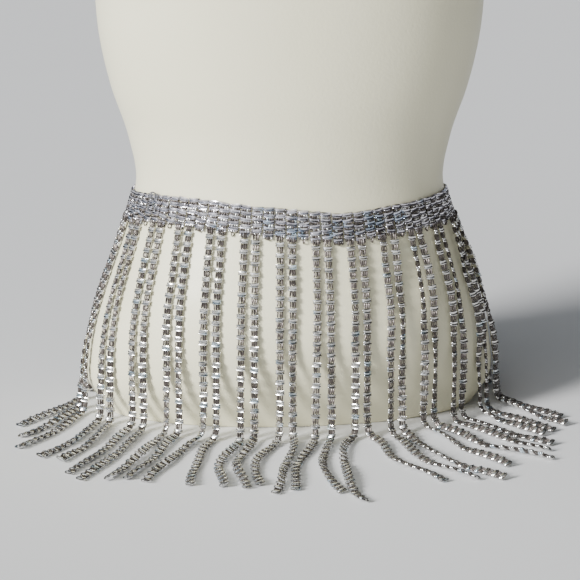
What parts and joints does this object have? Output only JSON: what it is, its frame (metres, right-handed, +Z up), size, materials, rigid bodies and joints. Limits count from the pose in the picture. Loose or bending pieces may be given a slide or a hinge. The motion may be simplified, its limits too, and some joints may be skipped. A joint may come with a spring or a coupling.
{
  "type": "chain fringe belt on a dress form",
  "caption": "Fringe belt of polished chain mesh, worn at the waist of a limbless dress form, with long strands that hang over the hips and lie on the floor.",
  "frame": {"origin": "on the form's flat base, under the middle of its waist", "axes": "+Z up the form, -Y to the form's front, +X to the right of a viewer in front"},
  "size_m": [0.4346, 0.5195, 0.6],
  "materials": {
    "cream_form": "smooth satin cream shell",
    "silver_chain": "mirror-polished silver chain mesh",
    "closing_steel": "plain bright wire"
  },
  "bodies": {
    "root": {"dress_form": "cream_form", "chain_band": "silver_chain", "fringe": "silver_chain", "closing_link_1": "closing_steel", "closing_link_2": "closing_steel"}
  },
  "joints": []
}
